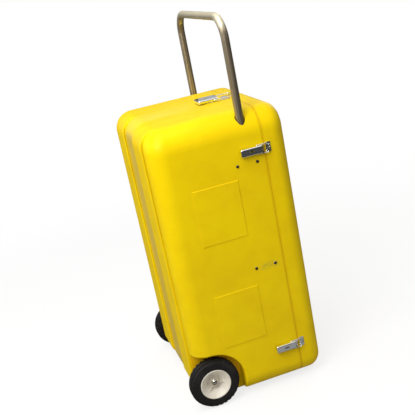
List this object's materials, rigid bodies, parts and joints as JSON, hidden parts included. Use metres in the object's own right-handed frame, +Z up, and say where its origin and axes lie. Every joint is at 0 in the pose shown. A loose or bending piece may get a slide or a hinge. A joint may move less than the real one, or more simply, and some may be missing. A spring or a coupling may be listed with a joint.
{
  "type": "transport box",
  "caption": "Upright moulded transport box on two wheels, with a hinged lid held by draw latches and a sliding tubular pull handle.",
  "frame": {"origin": "middle of the footprint on the floor, with the box standing on its wheel end", "axes": "+Z up along the box's length to the pull handle, +X from the back with the wheels to the lid, -Y towards the side with two latches"},
  "size_m": [0.415, 0.5037, 1.1005],
  "materials": {
    "shell": "satin gloss, slightly orange-peeled moulded surface",
    "latch": "polished plating",
    "tube": "drawn bright tube",
    "hub": "satin cream plastic",
    "tyre": "matt black rubber",
    "seal": "matt black rubber",
    "hinge": "satin steel",
    "fastener": "bright steel",
    "axle": "turned steel",
    "cap": "polished plating",
    "guide": "matt black plastic"
  },
  "bodies": {
    "base": {"base_shell": "shell", "handle_guide_upper_latch_side": "guide", "handle_guide_upper_hinge_side": "guide", "handle_guide_lower_latch_side": "guide", "handle_guide_lower_hinge_side": "guide", "guide_screws": "fastener", "hinge_upper_base_leaf": "hinge", "hinge_upper_pin": "hinge", "hinge_lower_base_leaf": "hinge", "hinge_lower_pin": "hinge", "hinge_base_rivets": "fastener", "latch_upper_plate": "latch", "latch_upper_pivot_pin": "latch", "latch_lower_plate": "latch", "latch_lower_pivot_pin": "latch", "latch_end_plate": "latch", "latch_end_pivot_pin": "latch", "latch_plate_rivets": "fastener", "axle_stub_latch_side": "axle", "axle_cap_latch_side": "cap", "backing_plate_latch_side": "axle", "axle_nut_latch_side": "axle", "axle_stub_hinge_side": "axle", "axle_cap_hinge_side": "cap", "backing_plate_hinge_side": "axle", "axle_nut_hinge_side": "axle"},
    "lid": {"lid_shell": "shell", "lid_seal": "seal", "latch_upper_keeper": "latch", "latch_lower_keeper": "latch", "latch_end_keeper": "latch", "keeper_rivets": "fastener", "hinge_upper_lid_leaf": "hinge", "hinge_lower_lid_leaf": "hinge", "hinge_lid_rivets": "fastener"},
    "handle": {"handle_tube": "tube", "handle_stop_latch_side": "guide", "handle_stop_hinge_side": "guide"},
    "wheel_latch_side": {"hub_latch_side": "hub", "tyre_latch_side": "tyre"},
    "wheel_hinge_side": {"hub_hinge_side": "hub", "tyre_hinge_side": "tyre"},
    "lever_upper": {"latch_upper_lever": "latch"},
    "bail_upper": {"latch_upper_bail": "latch"},
    "lever_lower": {"latch_lower_lever": "latch"},
    "bail_lower": {"latch_lower_bail": "latch"},
    "lever_end": {"latch_end_lever": "latch"},
    "bail_end": {"latch_end_bail": "latch"}
  },
  "joints": [
    {"name": "lid_hinge", "type": "hinge", "parent": "base", "child": "lid", "pos_m": [0.1365, 0.2455, 0.615], "axis": [0, 0, 1], "range_deg": [0, 110]},
    {"name": "handle_slide", "type": "slide", "parent": "base", "child": "handle", "axis": [0, 0, 1], "range_m": [-0.16, 0]},
    {"name": "wheel_latch_side_spin", "type": "hinge", "parent": "base", "child": "wheel_latch_side", "pos_m": [-0.1325, -0.221, 0.075], "axis": [0, 1, 0], "continuous": true},
    {"name": "wheel_hinge_side_spin", "type": "hinge", "parent": "base", "child": "wheel_hinge_side", "pos_m": [-0.1325, 0.221, 0.075], "axis": [0, 1, 0], "continuous": true},
    {"name": "latch_upper_throw", "type": "hinge", "parent": "base", "child": "lever_upper", "pos_m": [0.1285, -0.249, 0.729], "axis": [0, 0, 1], "range_deg": [0, 150]},
    {"name": "latch_upper_bail_swing", "type": "hinge", "parent": "lever_upper", "child": "bail_upper", "pos_m": [0.1125, -0.2482, 0.729], "axis": [0, 0, 1], "range_deg": [-150, 0]},
    {"name": "latch_lower_throw", "type": "hinge", "parent": "base", "child": "lever_lower", "pos_m": [0.1285, -0.249, 0.125], "axis": [0, 0, 1], "range_deg": [0, 150]},
    {"name": "latch_lower_bail_swing", "type": "hinge", "parent": "lever_lower", "child": "bail_lower", "pos_m": [0.1125, -0.2482, 0.125], "axis": [0, 0, 1], "range_deg": [-150, 0]},
    {"name": "latch_end_throw", "type": "hinge", "parent": "base", "child": "lever_end", "pos_m": [0.0985, 0, 0.848], "axis": [0, 1, 0], "range_deg": [0, 150]},
    {"name": "latch_end_bail_swing", "type": "hinge", "parent": "lever_end", "child": "bail_end", "pos_m": [0.0825, 0, 0.8472], "axis": [0, 1, 0], "range_deg": [-150, 0]}
  ],
  "couplings": [
    {"joint": "latch_upper_bail_swing", "follows": "latch_upper_throw", "ratio": -1},
    {"joint": "latch_lower_bail_swing", "follows": "latch_lower_throw", "ratio": -1},
    {"joint": "latch_end_bail_swing", "follows": "latch_end_throw", "ratio": -1}
  ]
}
